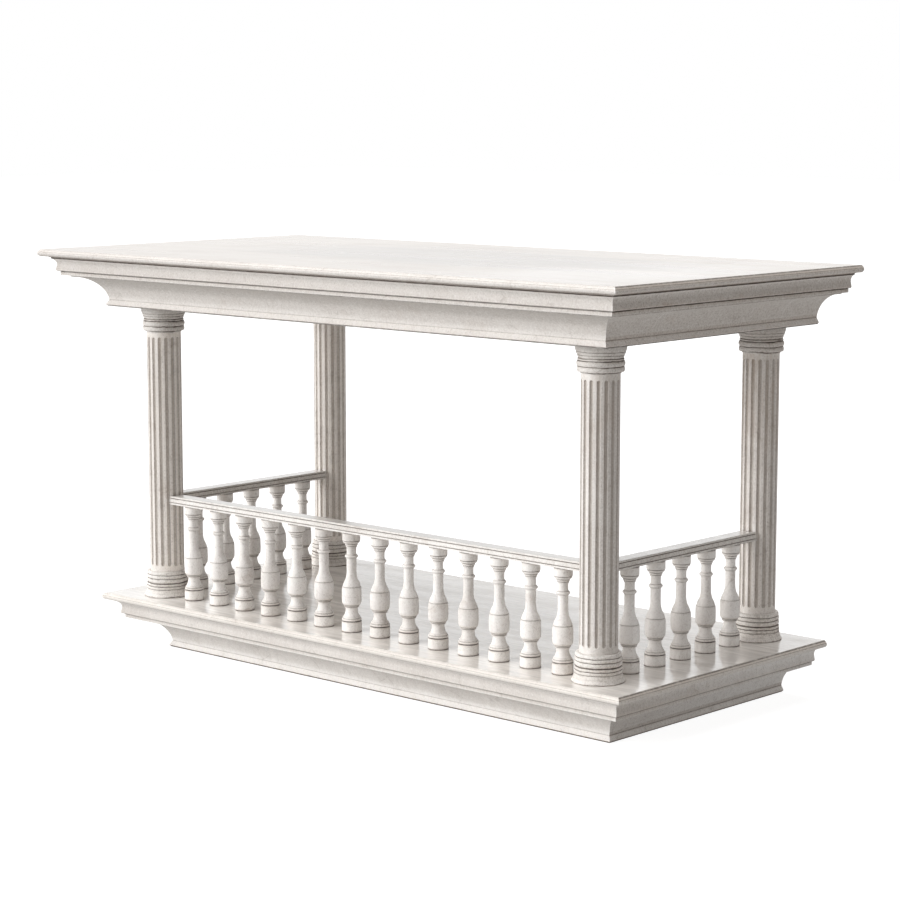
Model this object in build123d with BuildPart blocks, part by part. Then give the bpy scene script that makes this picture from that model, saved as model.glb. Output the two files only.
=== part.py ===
from build123d import *
import os

# Stone balcony loggia: a moulded podium, four fluted columns, a balustrade on
# three sides and a moulded roof. The back is open and flat, to stand against a
# wall. Millimetres, +Z up, with the long front toward -Y and the back toward +Y.
# The origin is at ground level, in the middle of the rectangle that the roof covers.

# Plan
column_spacing_x = 5460     # between column axes, along the front
column_spacing_y = 2264     # between the front and the back column axes
base_side_overhang = 538    # column axis to the podium's nosing at each end
base_front_overhang = 393   # column axis to the podium's nosing in front
roof_side_overhang = 843
roof_front_overhang = 868
back_overhang = 338         # column axis to the flat back of podium and roof

# Nosing slab, the top course of podium and roof. An inset is measured from the nosing's edge.
nosing_height = 66
nosing_tip_drop = 34        # top to where the nosing stands out most
nosing_lip_inset = 30       # its upper and lower edges
nosing_upper_bulge = 5
nosing_lower_bulge = 8
listel_inset = 84
listel_height = 10
nosing_joint_depth = 14
nosing_joint_height = 10

# Band course, with a cove that ends in a lip
band_height = 122
band_inset = 88
band_cove_inset = 134
band_cove_height = 79
band_cove_radius = 60
lip_inset = 128
lip_rise = 10
lip_undercut = 6

# Foot course, with a fillet, a large cove and a flare at the bottom
foot_joint_depth = 8
foot_joint_height = 6
foot_fillet_inset = 160
foot_fillet_height = 35
foot_cove_top_inset = 230
foot_cove_quirk = 16
foot_cove_inset = 489
foot_cove_height = 222
foot_cove_radius = 260
foot_flare_height = 45
foot_flare_spread = 26
foot_chamfer = 16

# Columns
column_height = 2850        # podium floor to roof soffit
shaft_radius = 165
flute_count = 16
flute_radius = 18
flute_centre_offset = 1     # flute axis beyond the shaft's surface
shaft_foot_neck = 56        # plain shaft below the flutes
shaft_head_neck = 48        # plain shaft above the flutes

# Turned rings, from the bottom up. Each is (radius at its foot, radius at its top,
# height, bulge of its side), and a negative bulge is a hollow.
# On the columns the two radii are measured out from the shaft's surface.
column_base_rings = (
    (63, 63, 8, 0),         # foot
    (63, 40, 66, -5),       # flare
    (34, 34, 4, 0),
    (37, 37, 25, 3),        # lower ring
    (29, 29, 5, 0),
    (34, 34, 23, 4),        # ring
    (19, 19, 9, 0),         # deep hollow
    (30, 30, 38, 8),        # torus
    (23, 23, 5, 0),
    (31, 31, 31, 6),        # middle ring
    (22, 22, 5, 0),
    (30, 25, 31, 4),        # upper ring
)
column_capital_rings = (
    (6, 6, 10, 0),          # fillet on the shaft
    (2, 2, 4, 0),
    (30, 30, 40, 5),        # lower ring
    (24, 24, 6, 0),
    (30, 30, 44, 8),        # torus
    (20, 20, 5, 0),
    (27, 27, 14, 3),        # fillet
    (19, 19, 6, 0),
    (24, 31, 22, 2),        # flare, in three steps
    (28, 28, 3, 0),
    (33, 42, 24, 2),
    (39, 39, 3, 0),
    (43, 49, 17, 1),
    (50, 50, 52, 1),        # round abacus
)

# Balusters
baluster_block_radius = 92
baluster_belly_radius = 90
baluster_cap_radius = 82
baluster_neck_radius = 44
baluster_waist_radius = 57
front_baluster_count = 14
side_baluster_count = 5
front_end_clearance = 70    # column base to the first baluster's block, along the front
side_end_clearance = 92     # the same along each side
baluster_rings = (
    (baluster_block_radius - 4, baluster_block_radius, 4, 1),
    (baluster_block_radius, baluster_block_radius, 90, 0),          # foot block
    (baluster_block_radius, baluster_block_radius - 4, 4, 1),
    (baluster_block_radius - 10, baluster_block_radius - 10, 6, 0),
    (baluster_block_radius - 4, baluster_block_radius - 4, 18, 3),  # ring on the block
    (baluster_block_radius - 12, baluster_block_radius - 12, 4, 0),
    (baluster_block_radius - 11, baluster_block_radius - 13, 15, 2),  # smaller ring
    (baluster_block_radius - 17, baluster_waist_radius - 2, 70, -5),  # lower sweep
    (baluster_waist_radius - 2, baluster_waist_radius - 1, 14, 0),  # waist
    (baluster_waist_radius + 8, baluster_waist_radius + 8, 8, 3),   # lower collar
    (baluster_waist_radius + 3, baluster_waist_radius + 3, 4, 0),
    (baluster_waist_radius + 12, baluster_waist_radius + 14, 9, 2),  # upper collar
    (baluster_belly_radius - 18, baluster_belly_radius - 18, 4, 0),
    (baluster_belly_radius - 15, baluster_belly_radius - 1, 30, 4),  # foot of the belly
    (baluster_belly_radius - 1, baluster_belly_radius, 70, 1),      # belly
    (baluster_belly_radius, baluster_belly_radius - 3, 65, 1),
    (baluster_belly_radius - 10, baluster_belly_radius - 10, 5, 0),  # incised line
    (baluster_belly_radius - 7, baluster_neck_radius + 14, 62, 3),  # shoulder
    (baluster_neck_radius + 14, baluster_neck_radius + 1, 88, -4),  # upper sweep
    (baluster_neck_radius + 1, baluster_neck_radius + 1, 110, 0),
    (baluster_neck_radius + 6, baluster_neck_radius + 6, 7, 0),
    (baluster_neck_radius + 6, baluster_neck_radius + 6, 24, 11),   # astragal
    (baluster_neck_radius + 6, baluster_neck_radius + 6, 5, 0),
    (baluster_neck_radius, baluster_neck_radius, 68, 0),            # neck
    (baluster_neck_radius + 6, baluster_neck_radius + 6, 10, 1),
    (baluster_neck_radius + 2, baluster_neck_radius + 2, 5, 0),
    (baluster_neck_radius + 11, baluster_neck_radius + 13, 15, 2),  # collar
    (baluster_neck_radius + 9, baluster_neck_radius + 9, 5, 0),
    (baluster_cap_radius - 19, baluster_cap_radius - 4, 22, 4),     # ovolo
    (baluster_cap_radius - 10, baluster_cap_radius - 10, 5, 0),
    (baluster_cap_radius, baluster_cap_radius, 74, 0),              # cap
)

# Rail
rail_half_width = 77
rail_top_half_width = 75
rail_groove_depth = 6
rail_fillet_height = 16
rail_groove_height = 7
rail_fascia_height = 35
rail_top_height = 15
rail_edge_radius = 8
rail_socket_depth = 50      # how far a rail's end is let into the shaft

# Worked out from the sizes above
slab_height = nosing_height + listel_height + nosing_joint_height
foot_height = (foot_joint_height + foot_fillet_height + foot_cove_quirk
               + foot_cove_height + foot_flare_height + foot_chamfer)
floor_level = slab_height + band_height + foot_height
soffit_level = floor_level + column_height
roof_top_level = soffit_level + floor_level

roof_half_length = column_spacing_x / 2 + roof_side_overhang
base_half_length = column_spacing_x / 2 + base_side_overhang
back_face = (roof_front_overhang + column_spacing_y + back_overhang) / 2
column_x = column_spacing_x / 2
back_row = back_face - back_overhang
front_row = back_row - column_spacing_y
roof_front = front_row - roof_front_overhang
base_front = front_row - base_front_overhang

column_base_height = sum(ring[2] for ring in column_base_rings)
column_capital_height = sum(ring[2] for ring in column_capital_rings)
capital_radius = shaft_radius + column_capital_rings[-1][1]
column_base_radius = shaft_radius + column_base_rings[0][0]
shaft_foot = floor_level + column_base_height
shaft_head = soffit_level - column_capital_height
rail_level = floor_level + sum(ring[2] for ring in baluster_rings)

os.makedirs("parts", exist_ok=True)


def finish(builder, name):
    """Label a finished piece and write it to its own STEP file."""
    builder.part.label = name
    export_step(builder.part, f"parts/{name}.step")


# ---------------------------------------------------------------- mouldings
# Each edge function draws one course's moulded edge from its top to its bottom.
# "edge" is how far the nosing stands out, and "top" is the course's upper level.

def slab_edge(edge, top):
    nosing_top = (edge - nosing_lip_inset, top)
    nosing_tip = (edge, top - nosing_tip_drop)
    nosing_foot = (edge - nosing_lip_inset, top - nosing_height)
    listel = edge - listel_inset
    listel_foot = nosing_foot[1] - listel_height
    bottom = (listel - nosing_joint_depth, top - slab_height)
    SagittaArc(nosing_top, nosing_tip, nosing_upper_bulge)
    SagittaArc(nosing_tip, nosing_foot, nosing_lower_bulge)
    Polyline(nosing_foot, (listel, nosing_foot[1]), (listel, listel_foot),
             (bottom[0], listel_foot), bottom)
    return nosing_top, bottom


def band_edge(edge, top):
    cove_top = (edge - band_inset, top)
    cove_foot = (edge - band_cove_inset, top - band_cove_height)
    bottom = (edge - lip_inset - lip_undercut, top - band_height)
    RadiusArc(cove_top, cove_foot, -band_cove_radius)
    Polyline(cove_foot, (edge - lip_inset, bottom[1] + lip_rise), bottom)
    return cove_top, bottom


def foot_edge(edge, top):
    fillet = edge - foot_fillet_inset
    joint_top = (fillet - foot_joint_depth, top)
    fillet_top = top - foot_joint_height
    fillet_foot = fillet_top - foot_fillet_height
    cove_top = (edge - foot_cove_top_inset, fillet_foot - foot_cove_quirk)
    cove_foot = (edge - foot_cove_inset, cove_top[1] - foot_cove_height)
    flare_tip = (cove_foot[0] + foot_flare_spread, cove_foot[1] - foot_flare_height)
    bottom = (flare_tip[0] - foot_chamfer, top - foot_height)
    Polyline(joint_top, (joint_top[0], fillet_top), (fillet, fillet_top), (fillet, fillet_foot),
             (cove_top[0], fillet_foot), cove_top)
    RadiusArc(cove_top, cove_foot, -foot_cove_radius)
    Polyline(cove_foot, flare_tip, bottom)
    return joint_top, bottom


def section_across(draw_edge, half_length, top):
    """Section on XZ, moulded at both ends."""
    with BuildSketch(Plane.XZ) as section:
        with BuildLine():
            start, end = draw_edge(half_length, top)
            Line((0, start[1]), start)
            Line(end, (0, end[1]))
            mirror(about=Plane.YZ)
        make_face()
    return section.sketch


def section_along(draw_edge, front, top):
    """Section on YZ, moulded in front and flat at the back."""
    with BuildSketch(Plane.YZ) as section:
        with BuildLine():
            start, end = draw_edge(-front, top)
            Polyline(start, (-back_face, start[1]), (-back_face, end[1]), end)
        make_face()
        mirror(about=Plane.YZ, mode=Mode.REPLACE)
    return section.sketch


def moulded_course(draw_edge, half_length, front, top):
    """A course whose front and ends carry one moulding, mitred at the corners."""
    extrude(section_across(draw_edge, half_length, top), amount=2 * back_face, both=True)
    extrude(section_along(draw_edge, front, top), amount=half_length, both=True,
            mode=Mode.INTERSECT)


# ---------------------------------------------------------------- podium
with BuildPart() as floor_slab:
    moulded_course(slab_edge, base_half_length, base_front, floor_level)
finish(floor_slab, "floor_slab")

with BuildPart() as podium_band:
    moulded_course(band_edge, base_half_length, base_front, floor_level - slab_height)
finish(podium_band, "podium_band")

with BuildPart() as podium_foot:
    moulded_course(foot_edge, base_half_length, base_front, foot_height)
finish(podium_foot, "podium_foot")


# ---------------------------------------------------------------- roof
roof_foot_top = soffit_level + foot_height
with BuildPart() as roof_slab:
    moulded_course(slab_edge, roof_half_length, roof_front, roof_top_level)
finish(roof_slab, "roof_slab")

with BuildPart() as roof_band:
    moulded_course(band_edge, roof_half_length, roof_front, roof_top_level - slab_height)
finish(roof_band, "roof_band")

# The roof's foot course is four beams round a sunk ceiling, flush with the capitals inside.
with BuildPart() as roof_foot:
    moulded_course(foot_edge, roof_half_length, roof_front, roof_foot_top)

beam_x = column_x - capital_radius
beam_front_y = front_row + capital_radius
beam_back_y = back_row - capital_radius
beam_extents = {
    "roof_front_beam": (-roof_half_length, roof_half_length, roof_front, beam_front_y),
    "roof_back_beam": (-roof_half_length, roof_half_length, beam_back_y, back_face),
    "roof_left_beam": (-roof_half_length, -beam_x, beam_front_y, beam_back_y),
    "roof_right_beam": (beam_x, roof_half_length, beam_front_y, beam_back_y),
}
for name, (left, right, front, back) in beam_extents.items():
    with BuildPart() as roof_beam:
        add(roof_foot.part)
        with BuildSketch(Plane.XY.offset(soffit_level)):
            with Locations(((left + right) / 2, (front + back) / 2)):
                Rectangle(right - left, back - front)
        extrude(amount=foot_height, mode=Mode.INTERSECT)
    finish(roof_beam, name)


# ---------------------------------------------------------------- turned pieces
def turned_outline(rings, core=0):
    """Half outline of a turned piece that stands on the sketch's origin."""
    height = 0
    corner = (0, 0)
    for foot, head, rise, bulge in rings:
        start = (core + foot, height)
        end = (core + head, height + rise)
        if start != corner:
            Line(corner, start)
        if bulge:
            SagittaArc(start, end, -bulge)
        else:
            Line(start, end)
        height += rise
        corner = end
    Polyline(corner, (0, height), (0, 0))


def turned_piece(rings, core=0):
    """Revolve a stack of rings about the upright axis."""
    with BuildSketch(Plane.XZ) as profile:
        with BuildLine():
            turned_outline(rings, core)
        make_face()
    revolve(profile.sketch, axis=Axis.Z)


# ---------------------------------------------------------------- rails
def rail_section(plane):
    """A rail's moulded section, centred over the balusters, with its foot at y = 0."""
    groove = rail_half_width - rail_groove_depth
    fascia_foot = rail_fillet_height + rail_groove_height
    fascia_head = fascia_foot + rail_fascia_height
    top_foot = fascia_head + rail_groove_height
    rail_top = top_foot + rail_top_height
    with BuildSketch(plane) as section:
        with BuildLine():
            Polyline((0, 0), (rail_half_width, 0), (rail_half_width, rail_fillet_height),
                     (groove, rail_fillet_height), (groove, fascia_foot),
                     (rail_half_width, fascia_foot), (rail_half_width, fascia_head),
                     (groove, fascia_head), (groove, top_foot), (rail_top_half_width, top_foot),
                     (rail_top_half_width, rail_top), (0, rail_top))
            mirror(about=Plane.YZ)
        make_face()
        rail_corners = section.vertices().group_by(Axis.Y)[-1]
        fillet(rail_corners, radius=rail_edge_radius)
    return section.sketch


rail_setback = shaft_radius - rail_socket_depth
rail_plane_x = Plane(origin=(0, front_row, rail_level), x_dir=(0, 1, 0), z_dir=(1, 0, 0))
rail_middle_y = (front_row + back_row) / 2

with BuildPart() as front_rail:
    extrude(rail_section(rail_plane_x), amount=column_x - rail_setback, both=True)
finish(front_rail, "front_rail")

side_rails = {}
for name, x in (("left_rail", -column_x), ("right_rail", column_x)):
    rail_plane_y = Plane(origin=(x, rail_middle_y, rail_level), x_dir=(1, 0, 0), z_dir=(0, -1, 0))
    with BuildPart() as side_rail:
        extrude(rail_section(rail_plane_y), amount=column_spacing_y / 2 - rail_setback, both=True)
    finish(side_rail, name)
    side_rails[name] = side_rail


# ---------------------------------------------------------------- columns
with BuildPart() as column_base:
    turned_piece(column_base_rings, shaft_radius)

with BuildPart() as column_capital:
    turned_piece(column_capital_rings, shaft_radius)

# Flutes are round-ended hollows. No flute faces along an axis of the plan.
flute_foot = shaft_foot_neck + flute_radius
flute_head = shaft_head - shaft_foot - shaft_head_neck - flute_radius
with BuildPart() as fluted_shaft:
    with BuildSketch():
        Circle(shaft_radius)
    extrude(amount=shaft_head - shaft_foot)
    with PolarLocations(shaft_radius + flute_centre_offset, flute_count,
                        start_angle=180 / flute_count):
        with Locations((0, 0, (flute_foot + flute_head) / 2)):
            Cylinder(flute_radius, flute_head - flute_foot, mode=Mode.SUBTRACT)
        with Locations((0, 0, flute_foot), (0, 0, flute_head)):
            Sphere(flute_radius, mode=Mode.SUBTRACT)

column_places = {
    "front_left": (-column_x, front_row),
    "front_right": (column_x, front_row),
    "back_left": (-column_x, back_row),
    "back_right": (column_x, back_row),
}
for corner, (x, y) in column_places.items():
    with BuildPart() as base:
        with Locations((x, y, floor_level)):
            add(column_base.part)
    finish(base, f"{corner}_column_base")

    with BuildPart() as shaft:
        with Locations((x, y, shaft_foot)):
            add(fluted_shaft.part)
        if y == front_row:
            add(front_rail.part, mode=Mode.SUBTRACT)
        add(side_rails[f"{corner.split('_')[1]}_rail"].part, mode=Mode.SUBTRACT)
    finish(shaft, f"{corner}_column_shaft")

    with BuildPart() as capital:
        with Locations((x, y, shaft_head)):
            add(column_capital.part)
    finish(capital, f"{corner}_column_capital")


# ---------------------------------------------------------------- balusters
with BuildPart() as turned_baluster:
    turned_piece(baluster_rings)


def row_offsets(count, column_spacing, end_clearance):
    """Evenly spaced places between two columns, measured from the row's middle."""
    last = column_spacing / 2 - column_base_radius - end_clearance - baluster_block_radius
    return [last * (2 * index / (count - 1) - 1) for index in range(count)]


front_offsets = row_offsets(front_baluster_count, column_spacing_x, front_end_clearance)
side_offsets = row_offsets(side_baluster_count, column_spacing_y, side_end_clearance)
baluster_places = {}
for index, offset in enumerate(front_offsets, start=1):
    baluster_places[f"front_baluster_{index:02d}"] = (offset, front_row)
for index, offset in enumerate(side_offsets, start=1):
    baluster_places[f"left_baluster_{index}"] = (-column_x, rail_middle_y + offset)
    baluster_places[f"right_baluster_{index}"] = (column_x, rail_middle_y + offset)

for name, (x, y) in baluster_places.items():
    with BuildPart() as baluster:
        with Locations((x, y, floor_level)):
            add(turned_baluster.part)
    finish(baluster, name)
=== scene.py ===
"""Dresses the stone balcony loggia in weathered pale stone, with painted light and shade in its
colours, and sets its studio light and camera.
"""

import logging
import math
from dataclasses import dataclass, replace
from enum import Enum

import bpy
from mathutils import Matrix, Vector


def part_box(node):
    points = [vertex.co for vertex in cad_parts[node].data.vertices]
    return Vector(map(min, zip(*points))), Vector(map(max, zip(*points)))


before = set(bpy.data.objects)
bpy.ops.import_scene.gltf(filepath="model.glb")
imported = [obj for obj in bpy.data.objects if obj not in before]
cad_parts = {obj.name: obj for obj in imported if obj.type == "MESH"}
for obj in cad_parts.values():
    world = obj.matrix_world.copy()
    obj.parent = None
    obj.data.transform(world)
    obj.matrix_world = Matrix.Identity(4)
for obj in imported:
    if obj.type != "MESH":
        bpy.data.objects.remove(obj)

log = logging.getLogger("loggia")

Colour = tuple[float, float, float]
Point = tuple[float, float, float]
Setting = float | int | str | bool | tuple


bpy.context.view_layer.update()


# ------------------------------------------------------------------ noise
class Grain(Enum):
    """Which way a set of streaks runs, as factors on the point they are read at."""

    ALONG_FRONT = (0.16, 1.6, 2.0)
    UPRIGHT = (1.7, 1.7, 0.14)


@dataclass(frozen=True)
class Cloud:
    """A fractal noise, and the values between which it comes to show.

    Attributes:
        scale: Features to the metre.
        detail: How many finer layers are added.
        roughness: How strong the finer layers are.
        low: The value where it starts to show.
        high: The value where it shows in full.
        grain: The way it is drawn out, if it is.
    """

    scale: float
    detail: float
    roughness: float
    low: float = 0.0
    high: float = 1.0
    grain: Grain | None = None


# ------------------------------------------------------------------ shader maths
class Wire:
    """A shader value that can stand in a Python expression. Each operator adds one Math node."""

    def __init__(self, board: "Board", socket: bpy.types.NodeSocket) -> None:
        """Keeps the board that the value belongs to and the socket that gives it.

        Args:
            board: The board that new nodes go on.
            socket: The output socket that holds the value.
        """
        self.board = board
        self.socket = socket

    def _math(self, operation: str, *terms: "Wire | float") -> "Wire":
        """Adds one Math node.

        Args:
            operation: The Math node's operation.
            terms: The node's inputs in order.

        Returns:
            The node's result.
        """
        inputs = dict(enumerate(terms))
        return self.board.node("ShaderNodeMath", {"operation": operation}, inputs)

    def __add__(self, other: "Wire | float") -> "Wire":
        """Adds."""
        return self._math("ADD", self, other)

    def __radd__(self, other: float) -> "Wire":
        """Adds to a plain number."""
        return self._math("ADD", other, self)

    def __sub__(self, other: "Wire | float") -> "Wire":
        """Subtracts."""
        return self._math("SUBTRACT", self, other)

    def __rsub__(self, other: float) -> "Wire":
        """Subtracts from a plain number."""
        return self._math("SUBTRACT", other, self)

    def __mul__(self, other: "Wire | float") -> "Wire":
        """Multiplies."""
        return self._math("MULTIPLY", self, other)

    def __rmul__(self, other: float) -> "Wire":
        """Multiplies a plain number."""
        return self._math("MULTIPLY", other, self)

    def __truediv__(self, other: "Wire | float") -> "Wire":
        """Divides."""
        return self._math("DIVIDE", self, other)

    def __pow__(self, other: "Wire | float") -> "Wire":
        """Raises to a power."""
        return self._math("POWER", self, other)

    def least(self, other: "Wire | float") -> "Wire":
        """Returns the smaller of two values."""
        return self._math("MINIMUM", self, other)

    def most(self, other: "Wire | float") -> "Wire":
        """Returns the larger of two values."""
        return self._math("MAXIMUM", self, other)

    def size(self) -> "Wire":
        """Returns the value without its sign."""
        return self._math("ABSOLUTE", self)

    def ease(self, low: float, high: float, first: float = 0.0, last: float = 1.0) -> "Wire":
        """Turns a stretch of the value into a smooth step.

        Args:
            low: The value where the step starts.
            high: The value where the step ends.
            first: The result at and before the start.
            last: The result at and after the end.

        Returns:
            The eased value.
        """
        return self.board.node(
            "ShaderNodeMapRange",
            {"interpolation_type": "SMOOTHSTEP"},
            {"Value": self, "From Min": low, "From Max": high, "To Min": first, "To Max": last},
        )


class Board:
    """A material's node tree, with the few ways of adding to it that the finishes use."""

    def __init__(self, tree: bpy.types.NodeTree) -> None:
        """Clears the tree.

        Args:
            tree: The node tree to fill.
        """
        self.tree = tree
        tree.nodes.clear()

    def node(
        self,
        kind: str,
        settings: dict[str, Setting] | None = None,
        inputs: dict[str | int, "Wire | Setting"] | None = None,
        result: str | int = 0,
    ) -> Wire:
        """Adds one node.

        Args:
            kind: The node's type.
            settings: The node's own settings, set before its sockets.
            inputs: Values or wires by socket name, identifier or number.
            result: Which output the wire holds.

        Returns:
            The chosen output.
        """
        node = self.tree.nodes.new(kind)
        for name, value in (settings or {}).items():
            setattr(node, name, value)
        for key, value in (inputs or {}).items():
            socket = self._find(node.inputs, key)
            if isinstance(value, Wire):
                self.tree.links.new(value.socket, socket)
            else:
                socket.default_value = value
        outputs = node.outputs
        return Wire(self, self._find(outputs, result)) if len(outputs) else Wire(self, None)

    @staticmethod
    def _find(sockets: bpy.types.bpy_prop_collection, key: str | int) -> bpy.types.NodeSocket:
        """Finds a socket by number, identifier or name.

        Args:
            sockets: The node's inputs or outputs.
            key: What to look for.

        Returns:
            The socket.
        """
        if isinstance(key, int):
            return sockets[key]
        return next((s for s in sockets if s.identifier == key), None) or sockets[key]

    def place(self) -> Wire:
        """Returns the point on the object, in metres."""
        return self.node("ShaderNodeTexCoord", result="Object")

    def along(self, place: Wire, axis: str) -> Wire:
        """Returns one coordinate of a point.

        Args:
            place: The point.
            axis: X, Y or Z.
        """
        return self.node("ShaderNodeSeparateXYZ", {}, {0: place}, result=axis)

    def stretch(self, place: Wire, scale: Point) -> Wire:
        """Returns a point stretched about the origin.

        Args:
            place: The point.
            scale: The factor along each axis.
        """
        return self.node("ShaderNodeMapping", {}, {"Vector": place, "Scale": scale})

    def bend(self, place: Wire, scale: float, amount: float) -> Wire:
        """Returns a point pushed about by smooth noise.

        Args:
            place: The point.
            scale: Bends to the metre.
            amount: The most that it is moved along each axis, in metres.
        """
        push = self.node("ShaderNodeTexNoise", {}, {"Vector": place, "Scale": scale}, "Color")
        terms = {0: push, 1: (amount, amount, amount), 2: place}
        return self.node("ShaderNodeVectorMath", {"operation": "MULTIPLY_ADD"}, terms)

    def noise(self, place: Wire, cloud: Cloud) -> Wire:
        """Adds fractal noise.

        Args:
            place: The point it is read at.
            cloud: The noise.

        Returns:
            The noise, about NOISE_MEAN on average.
        """
        if cloud.grain:
            place = self.stretch(place, cloud.grain.value)
        return self.node(
            "ShaderNodeTexNoise",
            {"noise_dimensions": "3D"},
            {
                "Vector": place,
                "Scale": cloud.scale,
                "Detail": cloud.detail,
                "Roughness": cloud.roughness,
            },
            result="Fac",
        )

    def cover(self, place: Wire, cloud: Cloud, least: float = 0.0) -> Wire:
        """Returns how much of a noise shows, from the least where it doesn't to 1 where it does.

        Args:
            place: The point it is read at.
            cloud: The noise.
            least: The result where it doesn't show.
        """
        return self.noise(place, cloud).ease(cloud.low, cloud.high, least)

    def blend(self, factor: Wire | float, first: Wire | Colour, second: Wire | Colour) -> Wire:
        """Mixes two colours.

        Args:
            factor: How much of the second colour shows.
            first: The colour below.
            second: The colour on top.

        Returns:
            The mixed colour.
        """
        first, second = (c if isinstance(c, Wire) else (*c, 1.0) for c in (first, second))
        return self.node(
            "ShaderNodeMix",
            {"data_type": "RGBA", "clamp_factor": True},
            {"Factor_Float": factor, "A_Color": first, "B_Color": second},
            result="Result_Color",
        )


# ------------------------------------------------------------------ sizes of the carving
def column_plan() -> tuple[float, float, float, float]:
    """Measures where the columns stand.

    Returns:
        How far the column axes are from the middle across, how far from the middle of their
        rows, where that middle is, and the shafts' radius, in metres.
    """
    front_low, front_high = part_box("front_right_column_shaft")
    back_low, back_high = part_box("back_right_column_shaft")
    front = (front_low[1] + front_high[1]) / 2
    back = (back_low[1] + back_high[1]) / 2
    across = (front_low[0] + front_high[0]) / 2
    return across, (back - front) / 2, (front + back) / 2, (front_high[0] - front_low[0]) / 2


MM = 0.001
PODIUM_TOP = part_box("floor_slab")[1][2]
ROOF_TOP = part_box("roof_slab")[1][2]
COLUMN_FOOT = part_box("front_right_column_base")[0][2]
SHAFT_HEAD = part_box("front_right_column_shaft")[1][2]
RAIL_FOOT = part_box("front_rail")[0][2]
COLUMN_X, COLUMN_HALF_Y, COLUMN_MIDDLE_Y, SHAFT_RADIUS = column_plan()

# ------------------------------------------------------------------ how the weather, painted light and painted shade show
NOISE_MEAN = 0.5

# The noises of the stone.
MOTTLE = Cloud(7.0, 6.0, 0.62)
SPECKLE = Cloud(55.0, 3.0, 0.75)
FINE_GRAIN = Cloud(120.0, 2.0, 0.7, 0.48, 0.7)
GREY_CLOUDS = Cloud(1.3, 5.0, 0.6, 0.42, 0.68)
STAIN_CLOUDS = Cloud(2.7, 4.0, 0.7, 0.52, 0.72)
RAIN = Cloud(9.0, 5.0, 0.65, 0.46, 0.72, Grain.UPRIGHT)
FLOW = Cloud(7.0, 5.0, 0.6, 0.44, 0.70, Grain.ALONG_FRONT)
HEAD_RUNS = Cloud(16.0, 3.0, 0.6, 0.38, 0.62, Grain.UPRIGHT)
WHOLE_LINES = Cloud(16.0, 3.0, 0.6, 0.36, 0.56)
POLISHED = Cloud(7.0, 3.0, 0.6, 0.58, 0.42, Grain.ALONG_FRONT)
SWEPT = Cloud(2.2, 2.0, 0.5, grain=Grain.ALONG_FRONT)
PATCH_EDGE = Cloud(3.0, 4.0, 0.55, grain=Grain.ALONG_FRONT)

# Between which two values each of these comes to show: facings as cosines, FRONT_TO_BACK in
# metres along Y, PATCH_INSIDE and BAND_INSIDE in half widths, and the rest in the values of
# their noise.
LEVEL_FACING = (0.9, 0.99)
SHADE_SIDE_FACING = (0.1, 0.9)
PALE_RIDGE = (0.12, 0.62)
FRONT_TO_BACK = (-1.3, 1.5)
STAIN_MOTTLE = (0.4, 0.7)
GREY_MOTTLE = (0.5, 0.75)
CRACK_MOTTLE = (0.52, 0.62)
PIT_MOTTLE = (0.35, 0.6)
DARK_SPECKS = (0.5, 0.68)
PALE_SPECKS = (0.48, 0.32)
CRACK_LINE = (0.03, 0.0)
PIT_BOTTOM = (0.0, 0.22)
HOLLOW_DIRT_AND_SHADE = (0.22, 0.78)
FLUTE_NOISE = (0.35, 0.75)
PATCH_INSIDE = (1.25, 0.5)
BAND_INSIDE = (1.3, 0.5)

# Bends to the metre and how far they reach, in metres.
FLOW_BEND = (1.1, 0.5)
CRACK_BEND = (4.0, 0.16)

# Cells to the metre.
CRACK_CELLS = 5.0
PIT_CELLS = 34.0

# How far noise frays each outline.
EDGE_FRAY = 0.3
PATCH_FRAY = 1.2
BAND_FRAY = 0.5
LINE_FRAY = 0.9
HOLLOW_FRAY_COARSE = 0.35
HOLLOW_FRAY_FINE = 0.25
FLUTE_FRAY = 0.6

# How much of each shows on the lit faces, and on the shaded faces toward +X, away from the key
# lamp; on the edges the difference is painted highlight, and the last adds dirt and painted shade
# to the hollows of the shaded faces.
SHADE_SIDE_EDGES = (1.0, 0.4)
SHADE_SIDE_STAINS = (0.26, 0.56)
SHADE_SIDE_GRAIN = (0.45, 1.0)
SHADE_SIDE_DIRT_AND_SHADE = (0.0, 0.06)

# How much of each shows on the walls, and on the faces that look up.
TOP_STAINS = (1.0, 0.15)
TOP_GRAIN = (1.0, 0.2)
TOP_RELIEF = (1.0, 0.07)

# How much of each colour shows at the most.
GREY_CLOUD_SHARE = 0.5
GREY_MOTTLE_SHARE = 0.25
FINE_GRAIN_SHARE = 0.8
CRACK_SHARE = 0.22
FLECK_SHARE = 0.3
SEAM_STAIN_SHARE = 0.35

# How much of each is left where it shows least.
DULL_POLISH = 0.5
CLEAN_FLUTE = 0.8
LOW_HEAD_STAIN = 0.2

# The dirt of the flutes and of the shafts' heads, in metres.
FLUTE_LIP = 0.001
FLUTE_BED = 0.011
HEAD_STAIN_REACH = 1.1

# A seam line's brown stain and its dark core, in line widths.
SEAM_HALO = 4.0
SEAM_CORE = 0.4

# What roughens or smooths the surface, and between which limits.
ROUGH_GRAIN = 0.2
ROUGH_SWEPT = 0.3
ROUGH_DIRT = 0.1
ROUGH_LIMITS = (0.1, 1.0)

# How high each noise stands in the relief, as factors on its height in metres.
RELIEF_SPECKLE = 0.6
RELIEF_MOTTLE = 1.1
RELIEF_PITS = 0.5
RELIEF_HEIGHT = 0.003

FLECK_TONE = (0.95, 0.94, 0.92)
# The next three tones are painted: a highlight on the nosing, shade in the cove under the lip and
# light on the foot.
NOSING_HIGHLIGHT_TONE = (0.95, 0.93, 0.91)
COVE_SHADE_TONE = (0.50, 0.47, 0.435)
FOOT_LIGHT_TONE = (0.95, 0.925, 0.90)
BROWN_LEDGE_TONE = (0.36, 0.29, 0.235)
# Painted light on parts of the paving.
PAVING_LIGHT_TONE = (0.975, 0.95, 0.915)


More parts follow.
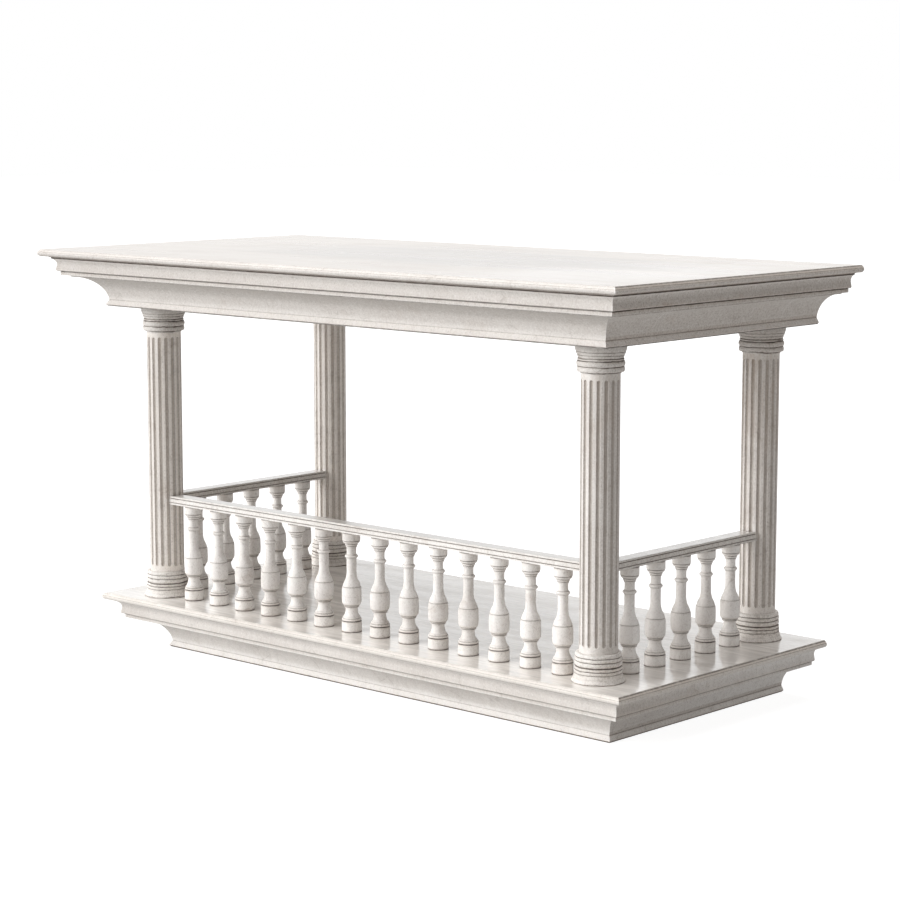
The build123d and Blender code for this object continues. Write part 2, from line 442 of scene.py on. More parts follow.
@dataclass(frozen=True)
class Seam:
    """A dark line at one height: a dirty joint, partly a painted shadow line under the lips and
    rolls.

    Attributes:
        level: The line's height in metres.
        width: Its width in metres.
        depth: How dark it is, from 0 to 1.
        lit_side: How much of it shows on the lit faces; the shaded faces toward +X get all of it,
            as painted shade.
    """

    level: float
    width: float
    depth: float = 1.0
    lit_side: float = 1.0


@dataclass(frozen=True)
class Band:
    """A soft band of another tone round the object, on the faces that don't look up; most bands are
    painted light and shade.

    Attributes:
        low: Its lower level in metres.
        high: Its upper level in metres.
        tone: Its colour.
        strength: How much of the colour shows on the lit faces.
        lee_strength: The same for the shaded faces toward +X.
    """

    low: float
    high: float
    tone: Colour
    strength: float
    lee_strength: float


@dataclass(frozen=True)
class Patch:
    """A broad soft patch of painted light on the faces that look up; on the roof top it is a
    painted reflection.

    Attributes:
        middle: Where it lies, in metres.
        half: Half its width and half its depth, in metres.
        tone: Its colour.
        strength: How much of the colour shows.
    """

    middle: tuple[float, float]
    half: tuple[float, float]
    tone: Colour
    strength: float


@dataclass(frozen=True)
class Site:
    """What a finish knows about the point that is being shaded.

    Attributes:
        board: The material's board.
        place: The point on the object, in metres.
        mottle: Noise of about a hand's width.
        speckle: Noise of about a finger's width.
        level: 1 on the faces that look up, 0 on the others.
        lee: 1 on the faces toward +X, away from the key lamp, where shade is painted, and 0 on the
            others.
    """

    board: Board
    place: Wire
    mottle: Wire
    speckle: Wire
    level: Wire
    lee: Wire

    @classmethod
    def of(cls, board: Board) -> "Site":
        """Reads the point and its facing.

        Args:
            board: The material's board.
        """
        place = board.place()
        facing = board.node("ShaderNodeNewGeometry", result="Normal")
        return cls(
            board=board,
            place=place,
            mottle=board.noise(place, MOTTLE),
            speckle=board.noise(place, SPECKLE),
            level=board.along(facing, "Z").ease(*LEVEL_FACING),
            lee=board.along(facing, "X").ease(*SHADE_SIDE_FACING),
        )

    def by_lee(self, lit_side: float, lee: float) -> Wire:
        """Returns a value that differs between the lit faces and the shaded faces toward +X.

        Args:
            lit_side: The value on the lit faces.
            lee: The value on the shaded faces toward +X.
        """
        return lit_side + self.lee * (lee - lit_side)

    def by_level(self, wall: float, top: float) -> Wire:
        """Returns a value that differs between the walls and the faces that look up.

        Args:
            wall: The value on the walls.
            top: The value on the faces that look up.
        """
        return wall + self.level * (top - wall)

    def openness(self, reach: float, inside: bool = False) -> Wire:
        """Returns how free of walls the point is, from 0 deep in a corner to 1 on open faces.

        Args:
            reach: How far off a wall still counts, in metres.
            inside: Whether to look into the stone, where a ridge or thin edge is near its far side.
        """
        settings = {"samples": 8, "inside": inside}
        distance = {"Distance": reach}
        return self.board.node("ShaderNodeAmbientOcclusion", settings, distance, result="AO")


@dataclass(frozen=True)
class StoneFinish:
    """Weathered pale stone, with dirt and painted shade in its hollows and painted light and shade
    on its faces.

    Attributes:
        name: The material's name.
        pale: The pale stone of the worn edges, partly a painted highlight, and the painted light on
            the shaded faces toward the back.
        face: The flat faces, dulled by weather.
        shade: The greyer patches and streaks, and the painted shade on the walls.
        stain: Warm stains.
        dirt_and_shade_tone: The dark tone of the grain and the flutes, and of the dirt and painted
            shade in the hollows.
        joint_and_shadow_dark: The darkest tone, in the seam lines: dirty joints, partly painted
            shadow lines.
        lee_tone: The tone painted on the faces toward +X, away from the key lamp: painted shade,
            and painted light on the side-lit shafts.
        lee_depth: How much of that tone shows.
        lee_fade: How much less that is toward the back.
        lee_bloom: How much paler they are painted there instead, as painted light.
        wall_shade: How much greyer the faces that don't look up are painted, as painted shade
            against the lit tops.
        streak: How much the upright rain streaks show.
        level_streak: How much the streaks along the front show on the faces that look up.
        freckle: How much the fine dark grain shows.
        dirt_and_shade_reach: How far from a corner the dirt and painted shade spread, in metres.
        dirt_and_shade_depth: How much of the dirt and painted shade shows.
        polish: Roughness of the faces that look up.
        tooth: Roughness of the rest.
        arris: Radius that the edges are worn to, in metres.
        edge_reach: How thick a ridge still counts as an edge, in metres.
        edge_wear_and_highlight: How pale the worn edges are, partly a painted highlight.
        relief: How strongly the grain stands out.
        flute_depth: How much of the dirt shows in the column flutes.
        head_stain: How brown the shafts are under their capitals.
        gloss: How much of a polish the faces that look up have.
        gloss_blur: Roughness of that polish.
        sway: How far the dirty lines wander up and down, in metres.
        sway_scale: How often they do, in bends to the metre.
        gaps: How much of the lines is lost where they are broken.
        stain_depth: How much the stains show.
        patches: Broad patches of painted light on the top.
        bands: Bands of another tone round the object, mostly painted light and shade.
        seams: Dark lines at set heights: dirty joints, partly painted shadow lines.
    """

    name: str
    pale: Colour = (0.885, 0.858, 0.832)
    face: Colour = (0.765, 0.728, 0.69)
    shade: Colour = (0.615, 0.573, 0.535)
    stain: Colour = (0.53, 0.425, 0.34)
    dirt_and_shade_tone: Colour = (0.225, 0.18, 0.145)
    joint_and_shadow_dark: Colour = (0.05, 0.038, 0.03)
    lee_tone: Colour = (0.505, 0.46, 0.415)
    lee_depth: float = 0.35
    lee_fade: float = 0.0
    lee_bloom: float = 0.0
    wall_shade: float = 0.0
    streak: float = 0.3
    level_streak: float = 0.3
    freckle: float = 0.5
    dirt_and_shade_reach: float = 0.05
    dirt_and_shade_depth: float = 0.9
    polish: float = 0.55
    tooth: float = 0.85
    arris: float = 0.003
    edge_reach: float = 0.05
    edge_wear_and_highlight: float = 0.95
    relief: float = 0.35
    flute_depth: float = 0.0
    head_stain: float = 0.0
    gloss: float = 0.0
    gloss_blur: float = 0.25
    sway: float = 0.001
    sway_scale: float = 5.0
    gaps: float = 0.35
    stain_depth: float = 1.0
    patches: tuple[Patch, ...] = ()
    bands: tuple[Band, ...] = ()
    seams: tuple[Seam, ...] = ()

    def material(self) -> bpy.types.Material:
        """Builds the material.

        Returns:
            The new material.
        """
        material = bpy.data.materials.new(self.name)
        material.use_nodes = True
        board = Board(material.node_tree)
        site = Site.of(board)
        # Ambient occlusion finds the hollows, which are darkened with dirt and painted shade.
        hollow = 1.0 - site.openness(self.dirt_and_shade_reach)
        colour = self._weathering_and_painted_light(site)
        colour = self._grain(site, colour)
        colour = self._hollow_dirt_and_shade(site, colour, hollow)
        if self.flute_depth:
            colour = self._flute_dirt(site, colour)
        colour = self._seam_lines(site, colour)
        surface = {
            "Base Color": colour,
            "Roughness": self._roughness(site, hollow),
            "Normal": self._surface(site),
            "Coat Roughness": self.gloss_blur,
        }
        if self.gloss:
            polished = board.cover(site.place, POLISHED, DULL_POLISH)
            surface["Coat Weight"] = site.level * polished * self.gloss
        shader = board.node("ShaderNodeBsdfPrincipled", {}, surface)
        board.node("ShaderNodeOutputMaterial", {}, {"Surface": shader})
        return material

    def _weathering_and_painted_light(self, site: Site) -> Wire:
        """Colours the open faces: painted shade on the walls and on the faces toward +X, pale edges
        that are partly painted highlight, stains, painted light patches, streaks, and bands that
        are mostly painted light and shade.

        Args:
            site: The shaded point.

        Returns:
            The colour.
        """
        board, place = site.board, site.place
        greyed = board.cover(place, GREY_CLOUDS) * GREY_CLOUD_SHARE
        colour = board.blend(greyed, self.face, self.shade)
        # Painted shade on the faces that don't look up.
        colour = board.blend((1.0 - site.level) * self.wall_shade, colour, self.shade)
        colour = self._lee_tones(site, colour)
        colour = self._worn_and_highlit_edges(site, colour)
        stains = board.cover(place, STAIN_CLOUDS) * site.mottle.ease(*STAIN_MOTTLE)
        upright_share = site.by_level(*TOP_STAINS)
        stained = stains * upright_share * site.by_lee(*SHADE_SIDE_STAINS) * self.stain_depth
        colour = board.blend(stained, colour, self.stain)
        # Patches of painted light on the top.
        for patch in self.patches:
            colour = self._painted_light_patch(site, colour, patch)
        colour = self._streaks(site, colour)
        # Bands of painted light and shade, and one of stain.
        for band in self.bands:
            colour = self._tone_band(site, colour, band)
        mottled = site.mottle.ease(*GREY_MOTTLE) * upright_share * GREY_MOTTLE_SHARE
        return board.blend(mottled, colour, self.shade)

    def _lee_tones(self, site: Site, colour: Wire) -> Wire:
        """Paints the faces toward +X, away from the key lamp, in their tone: painted shade on most
        stones and painted light on the side-lit shafts; toward the back it paints them paler, as
        painted light.

        Args:
            site: The shaded point.
            colour: The stone's colour.

        Returns:
            The colour with the lee faces' tones.
        """
        board = site.board
        back = board.along(site.place, "Y").ease(*FRONT_TO_BACK)
        dulled = site.lee * (1.0 - back * self.lee_fade) * self.lee_depth
        colour = board.blend(dulled, colour, self.lee_tone)
        return board.blend(site.lee * back * self.lee_bloom, colour, self.pale)

    def _worn_and_highlit_edges(self, site: Site, colour: Wire) -> Wire:
        """Lays the pale stone of the worn edges, partly a painted highlight on the ridges, most on
        the lit faces.

        Args:
            site: The shaded point.
            colour: The stone's colour.

        Returns:
            The colour with pale edges.
        """
        ridge = 1.0 - site.openness(self.edge_reach, inside=True)
        ragged = (site.mottle - NOISE_MEAN) * EDGE_FRAY
        pale_edge = (ridge + ragged).ease(*PALE_RIDGE)
        share = pale_edge * self.edge_wear_and_highlight * site.by_lee(*SHADE_SIDE_EDGES)
        return site.board.blend(share, colour, self.pale)

    def _streaks(self, site: Site, colour: Wire) -> Wire:
        """Draws the rain's streaks down the walls, and wandering ones along the tops.

        Args:
            site: The shaded point.
            colour: The stone's colour.

        Returns:
            The streaked colour.
        """
        board = site.board
        wandering = board.bend(site.place, *FLOW_BEND)
        upright = board.cover(site.place, RAIN) * (1.0 - site.level) * self.streak
        along = board.cover(wandering, FLOW) * site.level * self.level_streak
        return board.blend(upright + along, colour, self.shade)

    @staticmethod
    def _painted_light_patch(site: Site, colour: Wire, patch: Patch) -> Wire:
        """Lays one broad patch of painted light on the top; on the roof they are painted
        reflections.

        Args:
            site: The shaded point.
            colour: The stone's colour.
            patch: The patch.

        Returns:
            The colour with the patch.
        """
        board = site.board
        across = (board.along(site.place, "X") - patch.middle[0]) / patch.half[0]
        deep = (board.along(site.place, "Y") - patch.middle[1]) / patch.half[1]
        ragged = (board.noise(site.place, PATCH_EDGE) - NOISE_MEAN) * PATCH_FRAY
        inside = ((across * across + deep * deep) ** 0.5 + ragged).ease(*PATCH_INSIDE)
        return board.blend(inside * site.level * patch.strength, colour, patch.tone)

    @staticmethod
    def _tone_band(site: Site, colour: Wire, band: Band) -> Wire:
        """Lays one soft band round the object in the band's tone; most bands are painted light and
        shade.

        Args:
            site: The shaded point.
            colour: The stone's colour.
            band: The band.

        Returns:
            The colour with the band.
        """
        middle, half = (band.low + band.high) / 2, (band.high - band.low) / 2
        off = (site.board.along(site.place, "Z") - middle).size()
        ragged = (site.mottle - NOISE_MEAN) * half * BAND_FRAY
        outer, inner = (half * share for share in BAND_INSIDE)
        inside = (off + ragged).ease(outer, inner) * (1.0 - site.level)
        share = site.by_lee(band.strength, band.lee_strength)
        return site.board.blend(inside * share, colour, band.tone)

    def _grain(self, site: Site, colour: Wire) -> Wire:
        """Adds the fine dark grain, pale flecks and hair cracks.

        Args:
            site: The shaded point.
            colour: The stone's colour.

        Returns:
            The grained colour.
        """
        board = site.board
        share = site.by_lee(*SHADE_SIDE_GRAIN) * site.by_level(*TOP_GRAIN) * self.freckle
        fine = board.cover(site.place, FINE_GRAIN) * share * FINE_GRAIN_SHARE
        cells = board.node(
            "ShaderNodeTexVoronoi",
            {"feature": "DISTANCE_TO_EDGE"},
            {"Vector": board.bend(site.place, *CRACK_BEND), "Scale": CRACK_CELLS},
        )
        cracks = cells.ease(*CRACK_LINE) * site.mottle.ease(*CRACK_MOTTLE) * (1.0 - site.level)
        colour = board.blend(site.speckle.ease(*DARK_SPECKS) * share, colour, self.dirt_and_shade_tone)
        colour = board.blend(fine, colour, self.dirt_and_shade_tone)
        colour = board.blend(cracks * CRACK_SHARE, colour, self.dirt_and_shade_tone)
        return board.blend(site.speckle.ease(*PALE_SPECKS) * FLECK_SHARE, colour, FLECK_TONE)

    def _hollow_dirt_and_shade(self, site: Site, colour: Wire, hollow: Wire) -> Wire:
        """Lays dirt and painted shade into the hollows, and a little more on the shaded faces
        toward +X.

        Args:
            site: The shaded point.
            colour: The stone's colour.
            hollow: How shut in the point is.

        Returns:
            The dirtied colour.
        """
        coarse = (site.mottle - NOISE_MEAN) * HOLLOW_FRAY_COARSE
        fine = (site.speckle - NOISE_MEAN) * HOLLOW_FRAY_FINE
        caught = (hollow + (coarse + fine) + site.by_lee(*SHADE_SIDE_DIRT_AND_SHADE)).ease(*HOLLOW_DIRT_AND_SHADE)
        return site.board.blend(caught * self.dirt_and_shade_depth, colour, self.dirt_and_shade_tone)

    def _flute_dirt(self, site: Site, colour: Wire) -> Wire:
        """Fills the flutes of the four columns with dirt, and browns their heads.

        Args:
            site: The shaded point.
            colour: The stone's colour.

        Returns:
            The colour with dark flutes.
        """
        board = site.board
        across = board.along(site.place, "X").size() - COLUMN_X
        deep = (board.along(site.place, "Y") - COLUMN_MIDDLE_Y).size() - COLUMN_HALF_Y
        radius = (across * across + deep * deep) ** 0.5
        inside = radius.ease(SHAFT_RADIUS - FLUTE_LIP, SHAFT_RADIUS - FLUTE_BED)
        uneven = site.mottle * FLUTE_FRAY + site.speckle * FLUTE_FRAY
        patchy = uneven.ease(*FLUTE_NOISE, first=CLEAN_FLUTE)
        colour = board.blend(inside * patchy * self.flute_depth, colour, self.dirt_and_shade_tone)
        height = board.along(site.place, "Z")
        high = height.ease(SHAFT_HEAD - HEAD_STAIN_REACH, SHAFT_HEAD, first=LOW_HEAD_STAIN)
        runs = board.cover(site.place, HEAD_RUNS)
        return board.blend(high * runs * self.head_stain, colour, self.stain)

    def _seam_lines(self, site: Site, colour: Wire) -> Wire:
        """Draws the broken dark lines, each with a brown stain round it: dirty joints, partly
        painted shadow lines under the lips and rolls, painted darker on the shaded faces toward +X.

        Args:
            site: The shaded point.
            colour: The stone's colour.

        Returns:
            The colour with the lines on it.
        """
        if not self.seams:
            return colour
        board = site.board
        bent = board.bend(site.place, self.sway_scale, 2 * self.sway)
        height = board.along(bent, "Z") - self.sway
        whole = board.cover(site.place, WHOLE_LINES, 1.0 - self.gaps) * (1.0 - site.level)
        ragged = (NOISE_MEAN - site.mottle) * self.sway * LINE_FRAY
        for seam in self.seams:
            off = (height - seam.level).size() + ragged
            shown = site.by_lee(seam.lit_side, 1.0) * whole * seam.depth
            halo = off.ease(seam.width * SEAM_HALO, 0.0) * shown * SEAM_STAIN_SHARE
            core = off.ease(seam.width, seam.width * SEAM_CORE) * shown
            colour = board.blend(halo, colour, self.stain)
            colour = board.blend(core, colour, self.joint_and_shadow_dark)
        return colour

    def _roughness(self, site: Site, hollow: Wire) -> Wire:
        """Returns the roughness: smoother on top, where hands, feet and rain have been.

        Args:
            site: The shaded point.
            hollow: How shut in the point is.
        """
        worn = site.by_level(self.tooth, self.polish)
        grainy = (site.mottle - NOISE_MEAN) * ROUGH_GRAIN * (1.0 - site.level)
        swept = (site.board.noise(site.place, SWEPT) - NOISE_MEAN) * site.level * ROUGH_SWEPT
        smoothest, roughest = ROUGH_LIMITS
        return (worn + grainy + swept + hollow * ROUGH_DIRT).least(roughest).most(smoothest)

    def _surface(self, site: Site) -> Wire:
        """Returns the normal: worn edges, fine grain and small pits.

        Args:
            site: The shaded point.
        """
        worn_edge = site.board.node("ShaderNodeBevel", {"samples": 4}, {"Radius": self.arris})
        cells = site.board.node(
            "ShaderNodeTexVoronoi", {"feature": "F1"}, {"Vector": site.place, "Scale": PIT_CELLS}
        )
        pits = cells.ease(*PIT_BOTTOM) * site.mottle.ease(*PIT_MOTTLE)
        grain = site.speckle * RELIEF_SPECKLE + site.mottle * RELIEF_MOTTLE
        rough = grain + pits * RELIEF_PITS
        relief = {
            "Strength": self.relief,
            "Distance": RELIEF_HEIGHT,
            "Height": rough * site.by_level(*TOP_RELIEF),
            "Normal": worn_edge,
        }
        return site.board.node("ShaderNodeBump", {}, relief)


# ------------------------------------------------------------------ the pieces and their finishes
def stacked_seams(
    foot: float, lines: tuple[tuple[float, float, float], ...], lit_side: float = 1.0
) -> tuple[Seam, ...]:
    """Places seams above one level.

    Args:
        foot: The level that the heights start at, in metres.
        lines: Each seam's height above it and width, in millimetres, and its depth.
        lit_side: How much of them shows on the lit faces.

    Returns:
        The seams.
    """
    return tuple(
        Seam(foot + height * MM, width * MM, depth, lit_side) for height, width, depth in lines
    )


def course_seams(top: float, joint_lit_side: float) -> tuple[Seam, ...]:
    """Returns the dark lines of one set of courses, from under the nosing down to the foot: dirty
    joints, partly painted shadow lines under the nosing and the lip.

    Args:
        top: The level of the courses' top, in metres.
        joint_lit_side: How much of the lines under the nosing shows on the lit faces.
    """
    return (
        Seam(top - 3 * MM, 10 * MM, 1.0, 0.12),
        Seam(top - 25 * MM, 4 * MM, 0.5, 0.6),
        Seam(top - 66 * MM, 4 * MM, 0.9, joint_lit_side),
        Seam(top - 87 * MM, 6 * MM, 1.0, joint_lit_side),
        Seam(top - 212 * MM, 11 * MM, 0.9, 0.5),
        Seam(top - 487 * MM, 5 * MM, 0.6, 0.45),
        Seam(top - 544 * MM, 9 * MM, 0.9, 0.8),
    )


def course_bands(top: float, nosing: float, shade: float, foot: float) -> tuple[Band, ...]:
    """Returns the tones of one set of courses, from the nosing down to the foot: painted light and
    shade, and a brown ledge stain on the shaded faces.

    Args:
        top: The level of the courses' top, in metres.
        nosing: How much painted highlight lightens the nosing on the lit faces.
        shade: How much painted shade greys the cove under the lip on the lit faces.
        foot: How much painted light lightens the foot, which leans up toward the light.
    """
    return (
        Band(top - 60 * MM, top + 60 * MM, NOSING_HIGHLIGHT_TONE, nosing, 0.0),
        Band(top - 370 * MM, top - 240 * MM, COVE_SHADE_TONE, shade, 0.0),
        Band(top - 570 * MM, top - 450 * MM, FOOT_LIGHT_TONE, foot, foot),
        Band(top - 495 * MM, top - 455 * MM, BROWN_LEDGE_TONE, 0.0, 0.4),
    )


ROOF_STONE = StoneFinish(
    "weathered_roof_stone",
    face=(0.74, 0.707, 0.672),
    lee_depth=0.43,
    wall_shade=0.22,
    freckle=0.42,
    relief=0.22,
    polish=0.3,
    level_streak=0.2,
    edge_reach=0.03,
    # Painted reflections on the roof top: a pale sheen, and a grey patch in the middle.
    patches=(
        Patch((2.6, -0.5), (1.0, 1.5), (0.90, 0.89, 0.88), 0.55),
        Patch((0.3, 0.15), (2.4, 1.2), (0.60, 0.59, 0.58), 0.7),
    ),
    bands=course_bands(ROOF_TOP, 0.2, 0.5, 0.4),
    seams=course_seams(ROOF_TOP, 0.9),
)
PODIUM_STONE = StoneFinish(
    "weathered_podium_stone",
    pale=(0.94, 0.915, 0.885),
    face=(0.79, 0.753, 0.714),
    # Shade is painted on the faces toward +X at the front, turning to painted light toward the
    # back.
    lee_depth=0.5,
    lee_fade=1.0,
    lee_bloom=0.9,
    freckle=0.3,
    relief=0.22,
    stain_depth=0.5,
    edge_reach=0.03,
    bands=course_bands(PODIUM_TOP, 0.0, 0.0, 0.75),
    seams=course_seams(PODIUM_TOP, 0.6),
)
PAVING = StoneFinish(
    "worn_paving",
    pale=(0.93, 0.908, 0.88),
    face=(0.955, 0.92, 0.875),
    shade=(0.76, 0.715, 0.665),
    lee_depth=0.45,
    lee_fade=0.8,
    wall_shade=0.5,
    freckle=0.3,
    stain_depth=0.5,
    level_streak=0.65,
    polish=0.16,
    edge_reach=0.02,
    edge_wear_and_highlight=0.7,
    relief=0.2,
    gloss=1.0,
    gloss_blur=0.14,
    # Painted light that brightens the paving's right and front margins and its middle.
    patches=(
        Patch((3.2, 0.6), (0.8, 1.6), PAVING_LIGHT_TONE, 0.85),
        Patch((-2.5, -1.1), (1.0, 0.6), PAVING_LIGHT_TONE, 0.85),
        Patch((0.8, 0.8), (1.5, 0.8), (0.97, 0.94, 0.90), 0.7),
    ),
    seams=course_seams(PODIUM_TOP, 0.6),
)
# Shade is painted on the shaft's faces toward +X.
SHAFT_STONE = StoneFinish(
    "fluted_shaft_stone",
    face=(0.84, 0.809, 0.772),
    lee_depth=0.5,
    freckle=0.25,
    dirt_and_shade_depth=0.35,
    tooth=0.6,
    relief=0.15,
    flute_depth=0.42,
    head_stain=0.2,
)
# The front left shaft: light instead of shade is painted on its faces toward +X.
PAINTED_LIGHT_SIDE_SHAFT_STONE = replace(
    SHAFT_STONE,
    name="painted_light_side_shaft_stone",
    face=(0.84, 0.795, 0.745),
    lee_tone=(0.98, 0.92, 0.855),
    lee_depth=0.9,
)
# The back left shaft: a paler copy, as painted light, with the same painted light toward +X and
# less darkened flutes.
FAR_PAINTED_LIGHT_SHAFT_STONE = replace(
    PAINTED_LIGHT_SIDE_SHAFT_STONE, name="far_painted_light_shaft_stone", face=(0.95, 0.905, 0.855), flute_depth=0.28
)
# The back right shaft: a paler copy, as painted light, with more brown stain under its head.
STAINED_PAINTED_LIGHT_SHAFT_STONE = replace(
    SHAFT_STONE,
    name="stained_painted_light_shaft_stone",
    face=(0.95, 0.91, 0.865),
    lee_depth=0.4,
    head_stain=0.45,
    freckle=0.35,
)
# Dark lines of the bases and the capitals: dirty joints, partly painted shadow lines under the
# rolls and at the neck.
BASE_LINES = (
    (2, 7, 0.8),
    (40, 4, 0.25),
    (76, 5, 0.4),
    (105, 5, 0.7),
    (136, 8, 0.9),
    (181, 5, 0.7),
    (217, 5, 0.5),
    (249, 4, 0.35),
)
CAPITAL_LINES = (
    (11, 7, 0.85),
    (57, 5, 0.8),
    (107, 7, 0.95),
    (126, 5, 0.75),
    (153, 4, 0.5),
    (180, 4, 0.45),
)
RING_STONE = StoneFinish(
    "turned_column_stone",
    face=(0.855, 0.823, 0.785),
    lee_depth=0.2,
    freckle=0.4,
    dirt_and_shade_reach=0.035,
    tooth=0.65,
    relief=0.8,
    sway=0.018,
    sway_scale=8.0,
    gaps=0.75,
    seams=(
        stacked_seams(COLUMN_FOOT, BASE_LINES, 0.6)
        + stacked_seams(SHAFT_HEAD, CAPITAL_LINES, 0.6)
    ),
)
# The capitals: a darker copy of the ring stone, as painted shade under the roof.
PAINTED_SHADE_HEAD_STONE = replace(RING_STONE, name="turned_painted_shade_head_stone", face=(0.74, 0.708, 0.672))
# The back right base: a paler copy, as painted light, with more grain.
FRECKLED_PAINTED_LIGHT_RING_STONE = replace(
    RING_STONE,
    name="freckled_painted_light_column_stone",
    face=(0.95, 0.91, 0.865),
    freckle=0.5,
)
# The back right capital: a darker copy, as painted shade.
FRECKLED_PAINTED_SHADE_HEAD_STONE = replace(
    FRECKLED_PAINTED_LIGHT_RING_STONE, name="freckled_painted_shade_head_stone", face=(0.64, 0.597, 0.557), lee_depth=0.35
)
RAIL_LINES = ((20, 5, 0.6), (61, 5, 0.7))
RAIL_STONE = StoneFinish(
    "worn_rail_stone",
    pale=(0.95, 0.93, 0.905),
    face=(0.94, 0.917, 0.888),
    polish=0.12,
    gloss=0.85,
    dirt_and_shade_reach=0.03,
    seams=stacked_seams(RAIL_FOOT, RAIL_LINES),
)
BALUSTER_LINES = (
    (3, 7, 0.65),
    (101, 7, 0.95),
    (124, 4, 0.3),
    (143, 4, 0.15),
    (235, 5, 0.6),
    (248, 5, 0.6),
    (417, 4, 0.2),
    (685, 3, 0.3),
    (713, 4, 0.4),
    (796, 4, 0.45),
    (816, 4, 0.45),
    (843, 4, 0.55),
    (918, 7, 0.85),
)
BALUSTER_STONE = StoneFinish(
    "turned_baluster_stone",
    pale=(0.93, 0.905, 0.88),
    face=(0.945, 0.917, 0.888),
    lee_depth=0.0,
    freckle=0.24,
    dirt_and_shade_reach=0.035,
    dirt_and_shade_depth=0.7,
    tooth=0.6,
    relief=0.22,
    seams=stacked_seams(COLUMN_FOOT, BALUSTER_LINES),
)


@dataclass(frozen=True)
class Pieces:
    """A set of the carved pieces that share one finish.

    Attributes:
        label: What the log calls them.
        finish: Their stone.
        nodes: The names of the pieces.
    """

    label: str
    finish: StoneFinish
    nodes: list[str]

    def dress(self) -> None:
        """Gives every piece of the set its stone."""
        material = self.finish.material()
        for name in self.nodes:
            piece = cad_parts[name]
            for slot in piece.material_slots:
                slot.material = material
        log.info("%s: %d pieces in %s", self.label, len(self.nodes), self.finish.name)


class Loggia:
    """The whole carved object."""

    SETS = (
        ("roof", ROOF_STONE, ("roof_",)),
        ("paving", PAVING, ("floor_slab",)),
        ("podium", PODIUM_STONE, ("podium_",)),
        ("front right shaft", SHAFT_STONE, ("front_right_column_shaft",)),
        ("front left shaft", PAINTED_LIGHT_SIDE_SHAFT_STONE, ("front_left_column_shaft",)),
        ("back left shaft", FAR_PAINTED_LIGHT_SHAFT_STONE, ("back_left_column_shaft",)),
        ("back right shaft", STAINED_PAINTED_LIGHT_SHAFT_STONE, ("back_right_column_shaft",)),
        (
            "front and left bases",
            RING_STONE,
            ("front_right_column_base", "front_left_column_base", "back_left_column_base"),
        ),
        (
            "front and left capitals",
            PAINTED_SHADE_HEAD_STONE,
            ("front_right_column_capital", "front_left_column_capital", "back_left_column_capital"),
        ),
        ("back right base", FRECKLED_PAINTED_LIGHT_RING_STONE, ("back_right_column_base",)),
        ("back right capital", FRECKLED_PAINTED_SHADE_HEAD_STONE, ("back_right_column_capital",)),
        ("rails", RAIL_STONE, ("_rail",)),
        ("balusters", BALUSTER_STONE, ("_baluster_",)),
    )

    def build(self) -> None:
        """Dresses each set of pieces."""
        for label, finish, keys in self.SETS:
            nodes = [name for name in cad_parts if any(key in name for key in keys)]
            Pieces(label, finish, nodes).dress()


# ------------------------------------------------------------------ studio
@dataclass(frozen=True)
class Viewpoint:
    """The camera.

    Attributes:
        place: Where it stands, in metres.
        tilt: How far it leans up from looking straight down, in degrees.
        turn: How far it is turned from looking along +Y, in degrees.
        focal: Its focal length on a sensor of the given width, in millimetres.
        sensor: The sensor's width in millimetres.
        reach: How far it sees, in metres.
    """

    place: Point = (15.736, -16.898, 5.412)
    tilt: float = 81.962
    turn: float = 42.510
    focal: float = 100.38
    sensor: float = 36.0
    reach: float = 300.0

    def build(self) -> None:
        """Makes the camera and looks through it."""
        data = bpy.data.cameras.new("camera")
        data.lens = self.focal
        data.sensor_width = self.sensor
        data.clip_end = self.reach
        camera = bpy.data.objects.new("camera", data)
        camera.location = self.place
        camera.rotation_euler = (math.radians(self.tilt), 0.0, math.radians(self.turn))
        bpy.context.scene.collection.objects.link(camera)
        bpy.context.scene.camera = camera
        log.info("camera at %s", self.place)


@dataclass(frozen=True)
class Lamp:
    """A soft distant lamp.

    Attributes:
        name: What it is called.
        strength: How strong it is.
        comes_from: The direction that its light comes from.
        spread: How large it looks, in degrees.
    """

    name: str
    strength: float
    comes_from: Point
    spread: float

    def build(self) -> None:
        """Makes the lamp."""
        data = bpy.data.lights.new(self.name, "SUN")
        data.energy = self.strength
        data.angle = math.radians(self.spread)
        lamp = bpy.data.objects.new(self.name, data)
        x, y, z = self.comes_from
        lamp.rotation_euler = (math.atan2(math.hypot(x, y), z), 0.0, math.atan2(y, x) + math.pi / 2)
        bpy.context.scene.collection.objects.link(lamp)


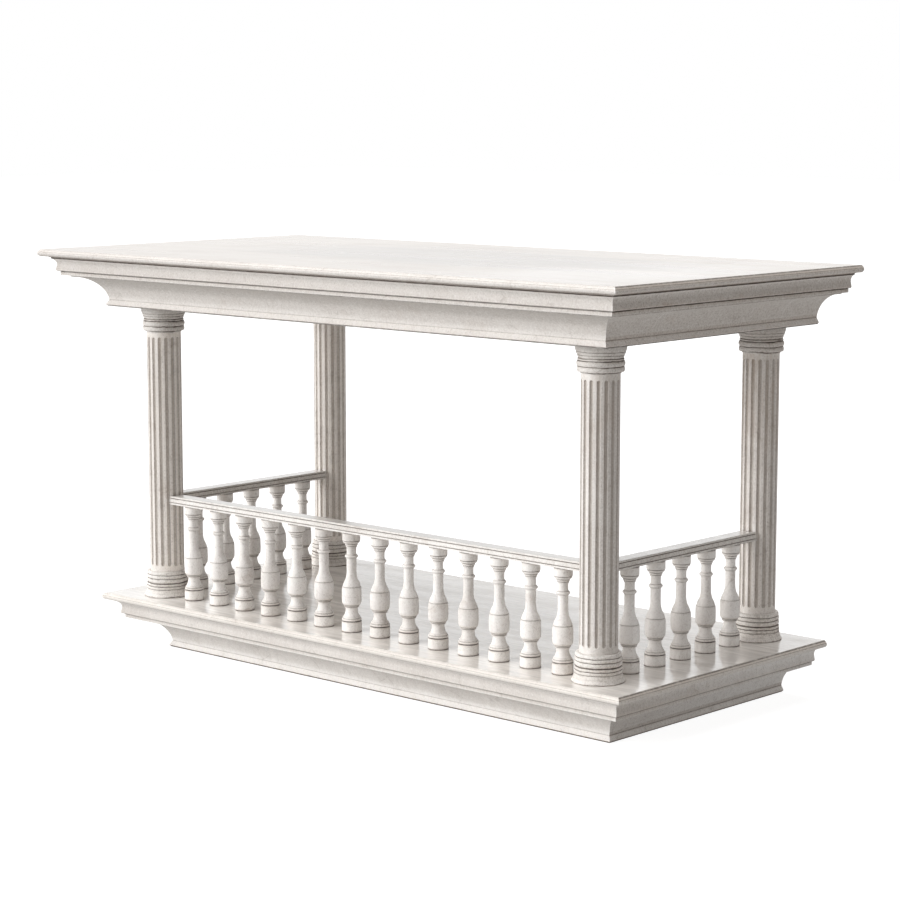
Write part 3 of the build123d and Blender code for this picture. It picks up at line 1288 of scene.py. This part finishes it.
@dataclass(frozen=True)
class Studio:
    """The floor, the world and the lamps.

    Attributes:
        floor_half: Half the floor's width in metres.
        floor_tone: The floor's own colour.
        floor_light: What the floor, a light table, gives off by itself.
        floor_white: The same for the camera, so that the floor is white.
        sky: The world's strength.
        sky_tone: The world's colour for the light on the object.
        lamps: The lamps.
    """

    floor_half: float = 120.0
    floor_tone: Colour = (0.34, 0.34, 0.34)
    floor_light: float = 0.18
    floor_white: float = 0.88
    sky: float = 0.34
    sky_tone: Colour = (1.0, 0.962, 0.935)
    lamps: tuple[Lamp, ...] = (
        Lamp("key", 2.75, (-0.537, -0.844, 0.24), 45.0),
        Lamp("overhead", 1.75, (-0.1, -0.15, 1.0), 50.0),
    )

    def build(self) -> None:
        """Makes the floor, the world and the lamps."""
        self._floor()
        self._world()
        for lamp in self.lamps:
            lamp.build()
        bpy.context.scene.view_settings.view_transform = "Standard"
        log.info("studio ready")

    def _floor(self) -> None:
        """Makes the pale floor, white to the camera and with the object's soft shadow on it."""
        bpy.ops.object.select_all(action="DESELECT")
        bpy.ops.mesh.primitive_plane_add(size=2 * self.floor_half, location=(0.0, 0.0, 0.0))
        floor = bpy.context.object
        floor.name = "studio_floor"
        material = bpy.data.materials.new("studio_floor")
        material.use_nodes = True
        board = Board(material.node_tree)
        matt = board.node("ShaderNodeBsdfDiffuse", {}, {"Color": (*self.floor_tone, 1.0)})
        dim, bright = (
            board.node("ShaderNodeEmission", {}, {"Strength": strength})
            for strength in (self.floor_light, self.floor_white)
        )
        glow = board.node("ShaderNodeMixShader", {}, {0: self._seen(board), 1: dim, 2: bright})
        both = board.node("ShaderNodeAddShader", {}, {0: matt, 1: glow})
        board.node("ShaderNodeOutputMaterial", {}, {"Surface": both})
        floor.data.materials.append(material)

    @staticmethod
    def _seen(board: Board) -> Wire:
        """Returns 1 for rays from the camera and in reflections, and 0 for light on the object."""
        camera = board.node("ShaderNodeLightPath", result="Is Camera Ray")
        gloss = board.node("ShaderNodeLightPath", result="Is Glossy Ray")
        return camera.most(gloss)

    def _world(self) -> None:
        """Makes the soft light all round, white to the camera."""
        world = bpy.data.worlds.new("studio")
        bpy.context.scene.world = world
        world.use_nodes = True
        board = Board(world.node_tree)
        dim, bright = (
            board.node("ShaderNodeBackground", {}, {"Color": (*tone, 1.0), "Strength": strength})
            for tone, strength in ((self.sky_tone, self.sky), ((1.0, 1.0, 1.0), 1.0))
        )
        light = board.node("ShaderNodeMixShader", {}, {0: self._seen(board), 1: dim, 2: bright})
        board.node("ShaderNodeOutputWorld", {}, {"Surface": light})


def main() -> None:
    """Builds the studio and dresses the object."""
    logging.basicConfig(level=logging.INFO, format="%(name)s: %(message)s")
    Viewpoint().build()
    Studio().build()
    Loggia().build()


if __name__ == "__main__":
    main()
